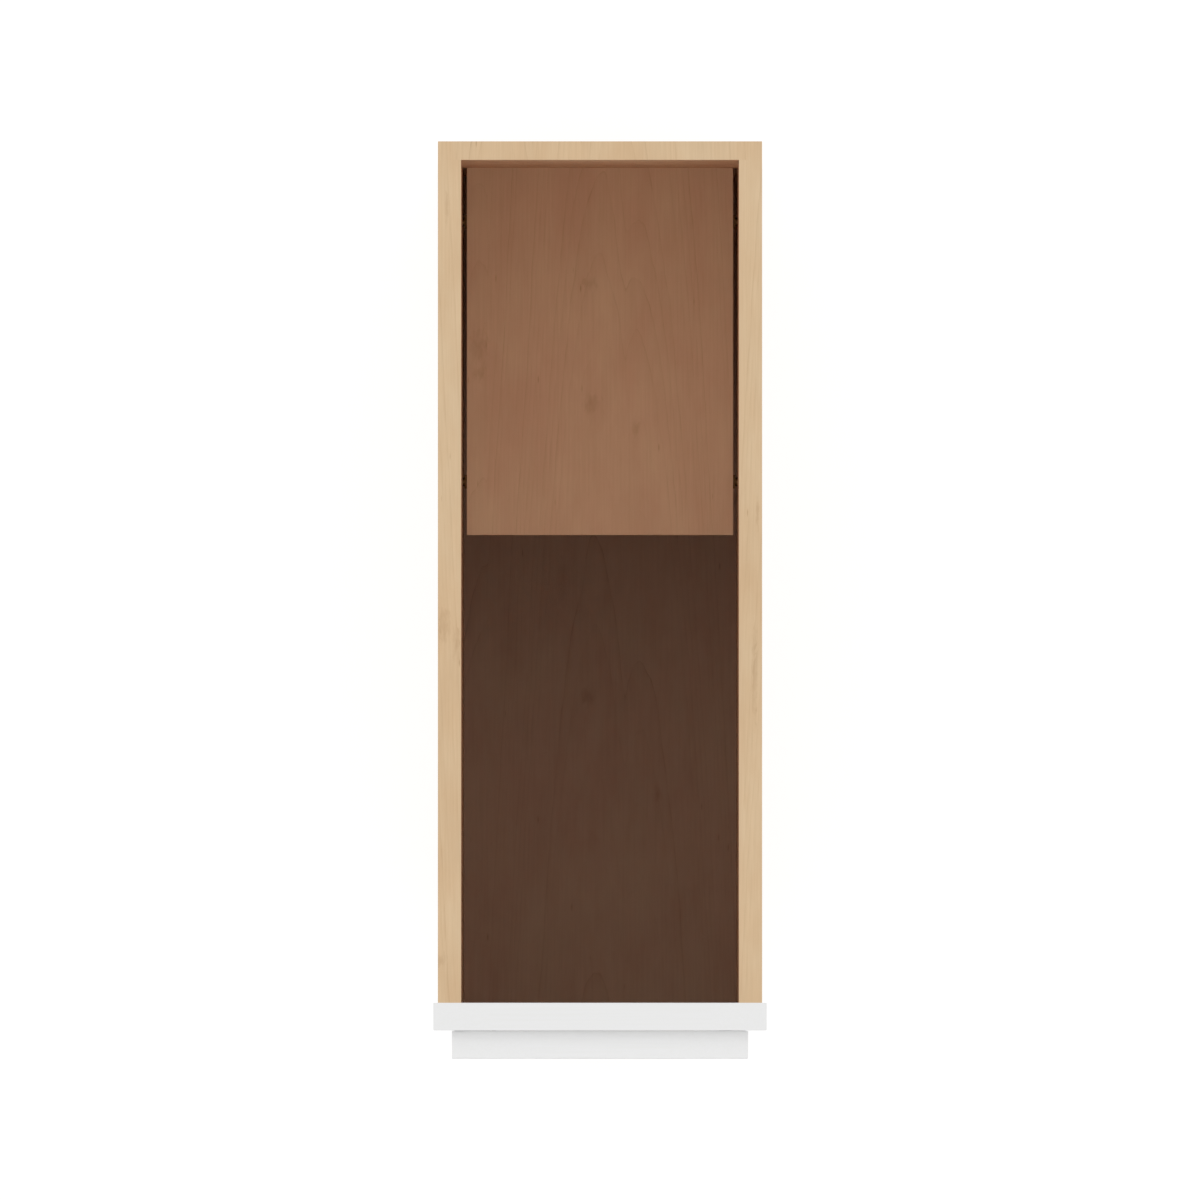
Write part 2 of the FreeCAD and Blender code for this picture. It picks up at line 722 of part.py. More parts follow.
def hinge_cup(label, name, height):
    """A pressed cup with a flange, a window by the pivot for the arm, and two ears that hold the pin."""
    at = ("cup_x", "door_back_y", height)
    shell = rod(label + "_shell", "cup_radius - cup_fit", "cup_depth - cup_fit - flange_thickness",
                ("cup_x", "door_back_y - flange_thickness", height), "-Y")
    flange = flange_plate(label + "_flange", height, "0")
    hollow = rod(label + "_hollow", "cup_radius - cup_fit - cup_wall",
                 "cup_depth - cup_fit - cup_wall", at, "-Y")
    window = slab(label + "_window", ("-door_half", "flange_start - door_half"),
                  ("door_back_y - cup_depth + cup_fit + cup_wall", "door_back_y"),
                  (f"{height} - cup_window / 2", f"{height} + cup_window / 2"))
    pressed = cut(label + "_pressed", joined(label + "_solid", [shell, flange]), [hollow])
    lugs = [slab(label + "_lug", ("-door_half", "axis_x + ear_reach"),
                 ("door_back_y - cup_depth + cup_fit", "axis_y + ear_rise"), z)
            for z in ((f"{height} - pin_half", f"{height} - cup_window / 2"),
                      (f"{height} + cup_window / 2", f"{height} + pin_half"))]
    ears = doc.addObject("Part::Common", label + "_ears")
    ears.Base = rod(label + "_trim", "cup_radius - cup_fit", "cup_depth - cup_fit", at, "-Y")
    ears.Tool = joined(label + "_lugs", lugs)
    pin_way = rod(label + "_pin_way", "hinge_pin_radius + hinge_pin_clearance", "2 * pin_half",
                  ("axis_x", "axis_y", f"{height} - pin_half"), "+Z")
    tools = [window, pin_way] + screw_hole("cup_screw_hole", "hinge_screw", cup_heads[name], sunk=True)
    return cut(label, joined(label + "_whole", [pressed, ears]), tools)


def hinge_pin(label, height):
    return rod(label, "hinge_pin_radius", "2 * pin_half", ("axis_x", "axis_y", f"{height} - pin_half"), "+Z")


def hinge_spring(label, height):
    """A leaf on the cup's floor under the eye."""
    bed = "door_back_y - cup_depth + cup_fit + cup_wall"
    start = "axis_x - eye_radius / 2"
    return slab(label, (start, f"{start} + spring_length"), (bed, f"{bed} + spring_thickness"),
                (f"{height} - spring_width / 2", f"{height} + spring_width / 2"))


parts = [
    side_panel("left_side", "-", "left"),
    side_panel("right_side", "", "right"),
    back_panel("back_panel"),
    floor_panel("floor_panel"),
    toe_board("toe_kick"),
    toe_blocks("toe_kick_blocks"),
    shelf("shelf"),
    shelf_edge("shelf_edge_band"),
    shelf_pins("shelf_pins"),
    frame_stile("frame_left_stile", "-", "left"),
    frame_stile("frame_right_stile", "", "right"),
    frame_rail("frame_top_rail", "top", "cabinet_height - frame_rail_width", "cabinet_height"),
    frame_rail("frame_bottom_rail", "bottom", "toe_height", "toe_height + frame_rail_width"),
    box_dowels("frame_to_box_dowels"),
    rail_dowels("frame_rail_dowels"),
    driven("back_panel_screws", box_screw, back_heads["left"] + back_heads["right"]),
    driven("floor_panel_screws", box_screw, floor_heads["left"] + floor_heads["right"]),
    door_stile("door_hinge_stile", "-", "hinge_stile"),
    door_stile("door_latch_stile", "", "latch_stile"),
    door_rail("door_top_rail", "top", "door_top", "door_top - door_rail_width"),
    door_rail("door_bottom_rail", "bottom", "door_bottom", "door_bottom + door_rail_width"),
    door_panel("door_panel"),
    door_bumpers("door_bumpers"),
    driven("hinge_plate_screws", hinge_screw, plate_heads["lower"] + plate_heads["upper"]),
    driven("hinge_cup_screws", hinge_screw, cup_heads["lower"] + cup_heads["upper"]),
    driven("hinge_arm_screws", arm_screw, [arm_heads["lower"], arm_heads["upper"]]),
]
for name, height in hinges.items():
    parts += [
        hinge_plate("hinge_plate_" + name, name, height),
        hinge_arm("hinge_arm_" + name, name, height),
        hinge_cup("hinge_cup_" + name, name, height),
        hinge_pin("hinge_pin_" + name, height),
        hinge_spring("hinge_spring_" + name, height),
    ]

doc.recompute()
for item in doc.Objects:
    if "Invalid" in item.State or "Error" in item.State:
        raise RuntimeError(f"{item.Label} did not compute")
for item in parts:
    if item.Shape.isNull() or not item.Shape.isValid():
        raise RuntimeError(f"{item.Label} has no sound shape")

os.makedirs("parts", exist_ok=True)
for item in parts:
    item.Shape.exportStep(f"parts/{item.Label}.step")
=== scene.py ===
# Looks of the narrow kitchen base cabinet: maple veneered box, white lacquered frame and door, steel hinges.
import bpy
import math
import numpy as np
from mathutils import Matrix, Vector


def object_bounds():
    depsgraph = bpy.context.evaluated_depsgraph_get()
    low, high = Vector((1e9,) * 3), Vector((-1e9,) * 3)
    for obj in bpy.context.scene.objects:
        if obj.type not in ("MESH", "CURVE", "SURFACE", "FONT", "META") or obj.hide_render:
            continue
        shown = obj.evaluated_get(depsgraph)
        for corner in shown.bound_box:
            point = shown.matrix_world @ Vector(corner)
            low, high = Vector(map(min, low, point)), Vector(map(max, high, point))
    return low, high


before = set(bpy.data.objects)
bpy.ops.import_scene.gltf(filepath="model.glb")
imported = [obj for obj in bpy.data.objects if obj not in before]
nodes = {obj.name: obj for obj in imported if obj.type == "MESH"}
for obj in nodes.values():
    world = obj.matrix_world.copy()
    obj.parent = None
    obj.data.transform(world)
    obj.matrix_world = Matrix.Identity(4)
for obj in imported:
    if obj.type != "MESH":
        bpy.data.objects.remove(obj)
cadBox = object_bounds()
mm = 0.001
print("frame loaded:", len(nodes), "nodes")


# Tools shared by all the finishes.

noiseLow, noiseHigh = 0.3, 0.7        # most of a noise's values lie between these


def hexColour(text):
    # sRGB hex to linear: the usual two-part curve, a straight toe and a 2.4 power above it
    srgb = [int(text[i:i + 2], 16) / 255 for i in (1, 3, 5)]
    return [c / 12.92 if c <= 0.04045 else ((c + 0.055) / 1.055) ** 2.4 for c in srgb] + [1.0]


def addNode(tree, kind, inputs=None, **settings):
    # one node: settings by attribute name, inputs by socket name or number, linked where the value is a socket;
    # gives back the node's first output
    node = tree.nodes.new(kind)
    for key, value in settings.items():
        setattr(node, key, value)
    for key, value in (inputs or {}).items():
        if isinstance(value, bpy.types.NodeSocket):
            tree.links.new(value, node.inputs[key])
        else:
            node.inputs[key].default_value = value
    return node.outputs[0] if node.outputs else node


def newFinish(name):
    finish = bpy.data.materials.new(name)
    finish.use_nodes = True
    finish.node_tree.nodes.clear()
    return finish, finish.node_tree


def closeFinish(tree, shader):
    addNode(tree, "ShaderNodeOutputMaterial", {"Surface": shader})


def dress(finish, *names):
    for name in names:
        piece = nodes[name]
        piece.data.materials.clear()
        piece.data.materials.append(finish)


# Maple veneer on plywood under a clear satin finish: sliced from a tapering log, so the growth rings show as
# nested arches over each heart of a sheet and as faint straight lines beside them; fine fibres, a few flecks.
# Outer faces and sawn top edges are pale maple; the sheets inside were cut from warmer wood, and the floor panel's
# darker tones are painted shade.

mapleSheet = dict(
    outer=("#DFC5A2", "#DCBE99", "#94704A"),                         # pale, rosy and dark tones
    inner=("#E5C19D", "#E1B796", "#9F7250"),
    rosyFrom=0.37, rosyTo=0.6, meanTone=0.18,
    ringWidth=2.1 * mm, pithDepth=53 * mm, taper=0.042,              # the log's rings, its distance and its taper
    warpAcross=28 * mm, warpAlong=110 * mm, warpRings=1.5,           # how the rings wander
    heartBlend=0.8 * mm, heartCore=8 * mm, heartReach=46 * mm,       # lines fade between core and reach
    lineWidth=1.1 * mm, lineTone=0.31, besideTone=0.3,
    strongFrom=0.3, strongLeast=0.1, shadeTone=0.10, shadePower=3.0,
    breakAcross=9 * mm, breakAlong=30 * mm, breakFrom=0.40, breakTo=0.64,    # where a line fades out for a while
    fibreAcross=1.3 * mm, fibreAlong=60 * mm, fibreTone=0.22,
    fleckAcross=6 * mm, fleckAlong=36 * mm, fleckTone=0.34, fleckShare=0.28, fleckEdge=0.10, fleckCore=0.03,
    mottleAcross=30 * mm, mottleAlong=80 * mm, mottleTone=0.24,
    knotEdgeAcross=2.2 * mm, knotEdgeAlong=6 * mm, knotRagged=2.2, knotFade=2.4, knotCore=1.1,
    knotTone=0.18, knotBend=-0.8,
    roughness=0.6, roughSpread=0.05, ior=1.5, specular=0.1, bump=0.015 * mm, bumpStrength=0.4,
)
# detail and roughness of each noise: fibres, slow change of tone, ragged knot edges, wandering rings, broken lines
mapleNoises = {"fibre": (3, 0.55), "mottle": (4, 0.6), "knotEdge": (3, 0.5), "warp": (3, 0.5), "break": (3, 0.6)}
squareFace = 0.5        # a face belongs to an axis when its normal leans to it by more than this


def mapleVeneer(name, figure):
    finish, tree = newFinish(name)
    m = mapleSheet
    coords = addNode(tree, "ShaderNodeTexCoord").node
    place = addNode(tree, "ShaderNodeSeparateXYZ", {0: coords.outputs["Object"]}).node
    faces = addNode(tree, "ShaderNodeVectorMath", {0: coords.outputs["Normal"]}, operation="ABSOLUTE")
    faces = addNode(tree, "ShaderNodeSeparateXYZ", {0: faces}).node
    onSide = addNode(tree, "ShaderNodeMath", {0: faces.outputs["X"], 1: squareFace}, operation="GREATER_THAN")
    onTop = addNode(tree, "ShaderNodeMath", {0: faces.outputs["Z"], 1: squareFace}, operation="GREATER_THAN")
    # across and along the grain: level faces run front to back, standing faces run up
    across = addNode(tree, "ShaderNodeMix", {0: onSide, 2: place.outputs["X"], 3: place.outputs["Y"]})
    along = addNode(tree, "ShaderNodeMix", {0: onTop, 2: place.outputs["Z"], 3: place.outputs["Y"]})
    sheet = addNode(tree, "ShaderNodeCombineXYZ", {0: across, 1: along, 2: figure["seed"]})

    # noises drawn out along the grain, each to its own size
    noise = {}
    for pattern, (detail, rough) in mapleNoises.items():
        shrink = (1 / m[pattern + "Across"], 1 / m[pattern + "Along"], 1)
        drawn = addNode(tree, "ShaderNodeVectorMath", {0: sheet, 1: shrink}, operation="MULTIPLY")
        noise[pattern] = addNode(tree, "ShaderNodeTexNoise", {"Vector": drawn, "Scale": 1.0, "Detail": detail,
                                                              "Roughness": rough})

    # knots: small ragged dark spots that push the rings aside
    knots = None
    for knotX, knotY, knotWide, knotLong in figure["knots"]:
        offset = addNode(tree, "ShaderNodeVectorMath", {0: sheet, 1: (knotX * mm, knotY * mm, figure["seed"])},
                         operation="SUBTRACT")
        offset = addNode(tree, "ShaderNodeVectorMath", {0: offset, 1: (1 / (knotWide * mm), 1 / (knotLong * mm), 0)},
                         operation="MULTIPLY")
        reach = addNode(tree, "ShaderNodeVectorMath", {0: offset}, operation="LENGTH").node.outputs["Value"]
        reach = addNode(tree, "ShaderNodeMath", {0: noise["knotEdge"], 1: m["knotRagged"], 2: reach},
                        operation="MULTIPLY_ADD")
        spot = addNode(tree, "ShaderNodeMapRange", {0: reach, 1: m["knotFade"], 2: m["knotCore"], 3: 0.0, 4: 1.0},
                       interpolation_type="SMOOTHSTEP")
        knots = spot if knots is None else addNode(tree, "ShaderNodeMath", {0: knots, 1: spot}, operation="MAXIMUM")

    # rings: distance from the nearest heart's pith, sqrt(across^2 + depth^2), plus taper times the way along
    radius = nearest = None
    for heart, later in figure["hearts"]:
        aside = addNode(tree, "ShaderNodeMath", {0: across, 1: heart * mm}, operation="SUBTRACT")
        away = addNode(tree, "ShaderNodeMath", {0: aside}, operation="ABSOLUTE")
        square = addNode(tree, "ShaderNodeMath", {0: aside, 1: aside, 2: m["pithDepth"] ** 2},
                         operation="MULTIPLY_ADD")
        cone = addNode(tree, "ShaderNodeMath", {0: square}, operation="SQRT")
        cone = addNode(tree, "ShaderNodeMath", {0: cone, 1: later * mm}, operation="ADD")
        if radius is None:
            radius, nearest = cone, away
        else:
            radius = addNode(tree, "ShaderNodeMath", {0: radius, 1: cone, 2: m["heartBlend"]}, operation="SMOOTH_MIN")
            nearest = addNode(tree, "ShaderNodeMath", {0: nearest, 1: away}, operation="MINIMUM")
    radius = addNode(tree, "ShaderNodeMath", {0: along, 1: m["taper"], 2: radius}, operation="MULTIPLY_ADD")
    rings = addNode(tree, "ShaderNodeMath", {0: radius, 1: 1 / m["ringWidth"], 2: -m["warpRings"] / 2},
                    operation="MULTIPLY_ADD")
    rings = addNode(tree, "ShaderNodeMath", {0: noise["warp"], 1: m["warpRings"], 2: rings},
                    operation="MULTIPLY_ADD")
    if knots is not None:
        rings = addNode(tree, "ShaderNodeMath", {0: knots, 1: m["knotBend"], 2: rings}, operation="MULTIPLY_ADD")
    share = addNode(tree, "ShaderNodeMath", {0: rings}, operation="FRACT")
    number = addNode(tree, "ShaderNodeMath", {0: rings}, operation="FLOOR")

    # a line keeps its width: the way to a ring's end is its share left, times ring width, over the rings' slope
    slope = addNode(tree, "ShaderNodeMath", {0: nearest, 1: 1 / m["pithDepth"], 2: m["taper"]},
                    operation="MULTIPLY_ADD")
    left = addNode(tree, "ShaderNodeMath", {0: 1.0, 1: share}, operation="SUBTRACT")
    left = addNode(tree, "ShaderNodeMath", {0: left, 1: slope}, operation="DIVIDE")
    lines = addNode(tree, "ShaderNodeMapRange", {0: left, 1: m["lineWidth"] / m["ringWidth"], 2: 0.0, 3: 0.0, 4: 1.0},
                    interpolation_type="SMOOTHSTEP")
    # some rings are stronger than others, lines break off and come back, and they fade away from a heart
    strong = addNode(tree, "ShaderNodeTexWhiteNoise", {"W": number}, noise_dimensions="1D")
    strong = addNode(tree, "ShaderNodeMapRange", {0: strong, 1: m["strongFrom"], 2: 1.0, 3: m["strongLeast"], 4: 1.0})
    broken = addNode(tree, "ShaderNodeMapRange", {0: noise["break"], 1: m["breakFrom"], 2: m["breakTo"],
                                                  3: 0.0, 4: 1.0})
    beside = addNode(tree, "ShaderNodeMapRange", {0: nearest, 1: m["heartCore"], 2: m["heartReach"],
                                                  3: 1.0, 4: m["besideTone"]})
    for weakening in (strong, broken, beside):
        lines = addNode(tree, "ShaderNodeMath", {0: lines, 1: weakening}, operation="MULTIPLY")
    shade = addNode(tree, "ShaderNodeMath", {0: share, 1: m["shadePower"]}, operation="POWER")
    shade = addNode(tree, "ShaderNodeMath", {0: shade, 1: strong}, operation="MULTIPLY")

    # flecks: short dark dashes in about one cell of four
    drawn = addNode(tree, "ShaderNodeVectorMath", {0: sheet, 1: (1 / m["fleckAcross"], 1 / m["fleckAlong"], 1)},
                    operation="MULTIPLY")
    cells = addNode(tree, "ShaderNodeTexVoronoi", {"Vector": drawn, "Scale": 1.0}).node
    fleck = addNode(tree, "ShaderNodeMapRange", {0: cells.outputs["Distance"], 1: m["fleckEdge"], 2: m["fleckCore"],
                                                 3: 0.0, 4: 1.0})
    chosen = addNode(tree, "ShaderNodeSeparateXYZ", {0: cells.outputs["Color"]})
    chosen = addNode(tree, "ShaderNodeMath", {0: chosen, 1: 1 - m["fleckShare"]}, operation="GREATER_THAN")
    fleck = addNode(tree, "ShaderNodeMath", {0: fleck, 1: chosen}, operation="MULTIPLY")

    # how dark the wood is: its mean, then each pattern's part of it; the noises swing both ways about a half
    tone = m["meanTone"] - (m["fibreTone"] + m["mottleTone"]) / 2
    for pattern, depth in ((noise["fibre"], "fibreTone"), (noise["mottle"], "mottleTone"), (lines, "lineTone"),
                           (shade, "shadeTone"), (knots, "knotTone"), (fleck, "fleckTone")):
        if pattern is not None:
            tone = addNode(tree, "ShaderNodeMath", {0: pattern, 1: m[depth], 2: tone}, operation="MULTIPLY_ADD")
    tone.node.use_clamp = True

    rosy = addNode(tree, "ShaderNodeMapRange", {0: noise["mottle"].node.outputs["Color"], 1: m["rosyFrom"],
                                                2: m["rosyTo"], 3: 0.0, 4: 1.0})
    tones = [hexColour(text) for text in figure.get("tones", m["inner"])]
    if "inside" in figure:
        # warm tones only on the face that looks into the cabinet
        facing = addNode(tree, "ShaderNodeVectorMath", {0: coords.outputs["Normal"], 1: figure["inside"]},
                         operation="DOT_PRODUCT").node.outputs["Value"]
        facing = addNode(tree, "ShaderNodeMath", {0: facing, 1: squareFace}, operation="GREATER_THAN")
        tones = [addNode(tree, "ShaderNodeMix", {0: facing, 6: hexColour(pale), 7: warm},
                         data_type="RGBA").node.outputs[2] for warm, pale in zip(tones, m["outer"])]
    light = addNode(tree, "ShaderNodeMix", {0: rosy, 6: tones[0], 7: tones[1]}, data_type="RGBA").node.outputs[2]
    colour = addNode(tree, "ShaderNodeMix", {0: tone, 6: light, 7: tones[2]}, data_type="RGBA").node.outputs[2]
    rough = addNode(tree, "ShaderNodeMapRange", {0: noise["fibre"], 1: noiseLow, 2: noiseHigh,
                                                 3: m["roughness"] - m["roughSpread"],
                                                 4: m["roughness"] + m["roughSpread"]})
    relief = addNode(tree, "ShaderNodeBump", {"Height": tone, "Strength": m["bumpStrength"], "Distance": -m["bump"]})
    closeFinish(tree, addNode(tree, "ShaderNodeBsdfPrincipled", {
        "Base Color": colour, "Roughness": rough, "Normal": relief, "IOR": m["ior"],
        "Specular IOR Level": m["specular"]}))
    return finish


# how each sheet was cut, in millimetres: its hearts (place across, how much later its arches start)
# and its knots (place across and along the grain, width and length); inside is the way its inner face looks
sheetFigures = {
    "shelf": dict(
        seed=3.0, hearts=[(-1, 0), (25, 2.6), (-84, 40), (88, 42)],
        knots=[(-7, 222, 6, 5), (-6, 139, 6, 8), (-84, 178, 7, 12), (-83, 160, 5, 6), (25, 121, 3, 7)]),
    # the floor panel's tones are the inner tones darkened by about a tenth: painted shade on the deepest panel
    "floor_panel": dict(
        seed=5.0, hearts=[(-4, 0), (27, 3.1), (-80, 38)], tones=("#D9B79B", "#D6AE94", "#986C4E"),
        knots=[(-9, -62, 5, 7), (40, -130, 3, 6)]),
    "left_side": dict(
        seed=11.0, inside=(1, 0, 0), hearts=[(-190, 2), (40, 0), (210, 3)],
        knots=[(-105, 268, 1.2, 14), (-107, -17, 5, 13), (-109, -247, 4, 6), (-98, -30, 2.5, 12),
               (-160, 530, 7, 9), (96, 300, 6, 8)]),
    "right_side": dict(
        seed=17.0, inside=(-1, 0, 0), hearts=[(-230, 0), (-70, 2.4), (150, 1)],
        knots=[(106, -49, 2, 34), (108, 60, 1.2, 12), (90, 540, 6, 8), (-160, 220, 6, 8)]),
    "back_panel": dict(seed=23.0, inside=(0, -1, 0), hearts=[(12, 0), (-66, 22)], knots=[(-30, 640, 5, 7)]),
    "toe_kick": dict(seed=29.0, tones=mapleSheet["outer"], hearts=[(30, 0)], knots=[]),
    "shelf_edge_band": dict(seed=37.0, hearts=[(-180, 0)], knots=[]),
}
for sheetName, sheetFigure in sheetFigures.items():
    dress(mapleVeneer("mapleVeneer_" + sheetName, sheetFigure), sheetName)
print("maple sheets finished:", len(sheetFigures))


# Sprayed white lacquer on sanded hardwood: close to flat white, a faint orange peel, a trace of grain under it.

lacquer = dict(white="#E9E9E9", shade="#E7E7E6", roughness=0.42, roughSpread=0.04, ior=1.5, specular=0.4,
               peelSize=2.2 * mm, peelDetail=1, peelDepth=0.006 * mm, bumpStrength=0.35,
               grainAcross=1.6 * mm, grainAlong=70 * mm, grainDetail=3, grainFineness=0.6,
               grainFrom=0.35, grainTo=0.75, grainHeight=0.6)


def whiteLacquer(name, grainAxis):
    finish, tree = newFinish(name)
    coords = addNode(tree, "ShaderNodeTexCoord").node
    sizes = [lacquer["grainAcross"]] * 3
    sizes[grainAxis] = lacquer["grainAlong"]
    along = addNode(tree, "ShaderNodeVectorMath", {0: coords.outputs["Object"], 1: [1 / size for size in sizes]},
                    operation="MULTIPLY")
    grain = addNode(tree, "ShaderNodeTexNoise", {"Vector": along, "Scale": 1.0, "Detail": lacquer["grainDetail"],
                                                 "Roughness": lacquer["grainFineness"]})
    peel = addNode(tree, "ShaderNodeTexNoise", {"Vector": coords.outputs["Object"],
                                                "Scale": 1 / lacquer["peelSize"], "Detail": lacquer["peelDetail"]})
    tone = addNode(tree, "ShaderNodeMapRange", {0: grain, 1: lacquer["grainFrom"], 2: lacquer["grainTo"],
                                                3: 0.0, 4: 1.0})
    colour = addNode(tree, "ShaderNodeMix", {0: tone, 6: hexColour(lacquer["white"]), 7: hexColour(lacquer["shade"])},
                     data_type="RGBA").node.outputs[2]
    height = addNode(tree, "ShaderNodeMath", {0: grain, 1: lacquer["grainHeight"], 2: peel}, operation="MULTIPLY_ADD")
    relief = addNode(tree, "ShaderNodeBump", {"Height": height, "Strength": lacquer["bumpStrength"],
                                              "Distance": lacquer["peelDepth"]})
    rough = addNode(tree, "ShaderNodeMapRange", {0: peel, 1: noiseLow, 2: noiseHigh,
                                                 3: lacquer["roughness"] - lacquer["roughSpread"],
                                                 4: lacquer["roughness"] + lacquer["roughSpread"]})
    closeFinish(tree, addNode(tree, "ShaderNodeBsdfPrincipled", {
        "Base Color": colour, "Roughness": rough, "Normal": relief, "IOR": lacquer["ior"],
        "Specular IOR Level": lacquer["specular"]}))
    return finish


dress(whiteLacquer("whiteLacquer_upright", 2), "frame_left_stile", "frame_right_stile", "door_hinge_stile",
      "door_latch_stile", "door_panel")
dress(whiteLacquer("whiteLacquer_level", 0), "frame_top_rail", "frame_bottom_rail", "door_top_rail",
      "door_bottom_rail")
print("lacquer finished")


# Plated steel: nickel on the hinges, zinc on the screws, a dark bronze on the shelf pins that is partly painted
# shade; fine tumbling marks.

steelMarks = dict(detail=4, fineness=0.65, smoother=0.06, rougher=0.1, bumpStrength=0.25, bump=0.02 * mm)
steelFinishes = {
    "nickelPlatedSteel": dict(colour="#C9C5BC", roughness=0.31, markSize=0.8 * mm, pieces=(
        "hinge_plate_lower", "hinge_plate_upper", "hinge_arm_lower", "hinge_arm_upper", "hinge_cup_lower",
        "hinge_cup_upper")),
    # the shelf pins' dark bronze is partly a bronze finish and partly painted shade, dark so that they stay as dark
    # as the shaded slots
    "bronzeAndShadeSteel": dict(colour="#86643F", roughness=0.4, markSize=0.8 * mm, pieces=("shelf_pins",)),
    "zincPlatedSteel": dict(colour="#BDBBB2", roughness=0.34, markSize=0.5 * mm, pieces=(
        "back_panel_screws", "floor_panel_screws", "hinge_plate_screws", "hinge_cup_screws", "hinge_arm_screws")),
    "springSteel": dict(colour="#8E9094", roughness=0.3, markSize=0.6 * mm, pieces=(
        "hinge_pin_lower", "hinge_pin_upper", "hinge_spring_lower", "hinge_spring_upper")),
}


def platedSteel(name, s):
    finish, tree = newFinish(name)
    coords = addNode(tree, "ShaderNodeTexCoord").node
    marks = addNode(tree, "ShaderNodeTexNoise", {"Vector": coords.outputs["Object"], "Scale": 1 / s["markSize"],
                                                 "Detail": steelMarks["detail"], "Roughness": steelMarks["fineness"]})
    rough = addNode(tree, "ShaderNodeMapRange", {0: marks, 1: noiseLow, 2: noiseHigh,
                                                 3: s["roughness"] - steelMarks["smoother"],
                                                 4: s["roughness"] + steelMarks["rougher"]})
    relief = addNode(tree, "ShaderNodeBump", {"Height": marks, "Strength": steelMarks["bumpStrength"],
                                              "Distance": steelMarks["bump"]})
    closeFinish(tree, addNode(tree, "ShaderNodeBsdfPrincipled", {
        "Base Color": hexColour(s["colour"]), "Metallic": 1.0, "Roughness": rough, "Normal": relief}))
    return finish


for steelName, steelSet in steelFinishes.items():
    dress(platedSteel(steelName, steelSet), *steelSet["pieces"])
print("steel finished")


# Plain beech and pine for the dowels and glue blocks: dull, with short grain.

woodFinishes = {
    "turnedBeech_across": dict(pale="#D8B48A", dark="#B98C5E", grainAxis=0, grainWidth=0.9 * mm,
                               pieces=("frame_rail_dowels",)),
    "turnedBeech_deep": dict(pale="#D8B48A", dark="#B98C5E", grainAxis=1, grainWidth=0.9 * mm,
                             pieces=("frame_to_box_dowels",)),
    "sawnPine": dict(pale="#DDBE8C", dark="#B8894F", grainAxis=2, grainWidth=2.4 * mm, pieces=("toe_kick_blocks",)),
}
woodSurface = dict(stretch=40, detail=4, fineness=0.6, roughness=0.7, ior=1.5, specular=0.3,
                   bump=0.08 * mm, bumpStrength=0.5)


def plainWood(name, w):
    finish, tree = newFinish(name)
    coords = addNode(tree, "ShaderNodeTexCoord").node
    sizes = [w["grainWidth"]] * 3
    sizes[w["grainAxis"]] *= woodSurface["stretch"]
    along = addNode(tree, "ShaderNodeVectorMath", {0: coords.outputs["Object"], 1: [1 / size for size in sizes]},
                    operation="MULTIPLY")
    grain = addNode(tree, "ShaderNodeTexNoise", {"Vector": along, "Scale": 1.0, "Detail": woodSurface["detail"],
                                                 "Roughness": woodSurface["fineness"]})
    tone = addNode(tree, "ShaderNodeMapRange", {0: grain, 1: noiseLow, 2: noiseHigh, 3: 0.0, 4: 1.0})
    colour = addNode(tree, "ShaderNodeMix", {0: tone, 6: hexColour(w["pale"]), 7: hexColour(w["dark"])},
                     data_type="RGBA").node.outputs[2]
    relief = addNode(tree, "ShaderNodeBump", {"Height": grain, "Strength": woodSurface["bumpStrength"],
                                              "Distance": woodSurface["bump"]})
    closeFinish(tree, addNode(tree, "ShaderNodeBsdfPrincipled", {
        "Base Color": colour, "Roughness": woodSurface["roughness"], "Normal": relief, "IOR": woodSurface["ior"],
        "Specular IOR Level": woodSurface["specular"]}))
    return finish


for woodName, woodSet in woodFinishes.items():
    dress(plainWood(woodName, woodSet), *woodSet["pieces"])
print("small woods finished")


# Clear soft plastic of the door bumpers: a little hazy, lets light through.

bumperPlastic = dict(colour="#DDE0DE", hazeSize=1.5 * mm, smoothest=0.25, roughest=0.4, ior=1.49, clear=0.6)


def clearPlastic(name, p):
    finish, tree = newFinish(name)
    coords = addNode(tree, "ShaderNodeTexCoord").node
    haze = addNode(tree, "ShaderNodeTexNoise", {"Vector": coords.outputs["Object"], "Scale": 1 / p["hazeSize"]})
    rough = addNode(tree, "ShaderNodeMapRange", {0: haze, 3: p["smoothest"], 4: p["roughest"]})
    closeFinish(tree, addNode(tree, "ShaderNodeBsdfPrincipled", {
        "Base Color": hexColour(p["colour"]), "Roughness": rough, "IOR": p["ior"],
        "Transmission Weight": p["clear"]}))
    return finish


dress(clearPlastic("clearBumperPlastic", bumperPlastic), "door_bumpers")
print("plastic finished")


# Floor and light. The floor is white to the camera and keeps a soft shadow; the sky is brightest overhead.

stageSet = dict(floorRadius=9.0, floorRings=10, floorTurns=96, floorTone=0.9, floorGlow=0.79, shadowTone=0.31,
                skyPower=1.5, skyLevel=0.88, lowLevel=0.12)


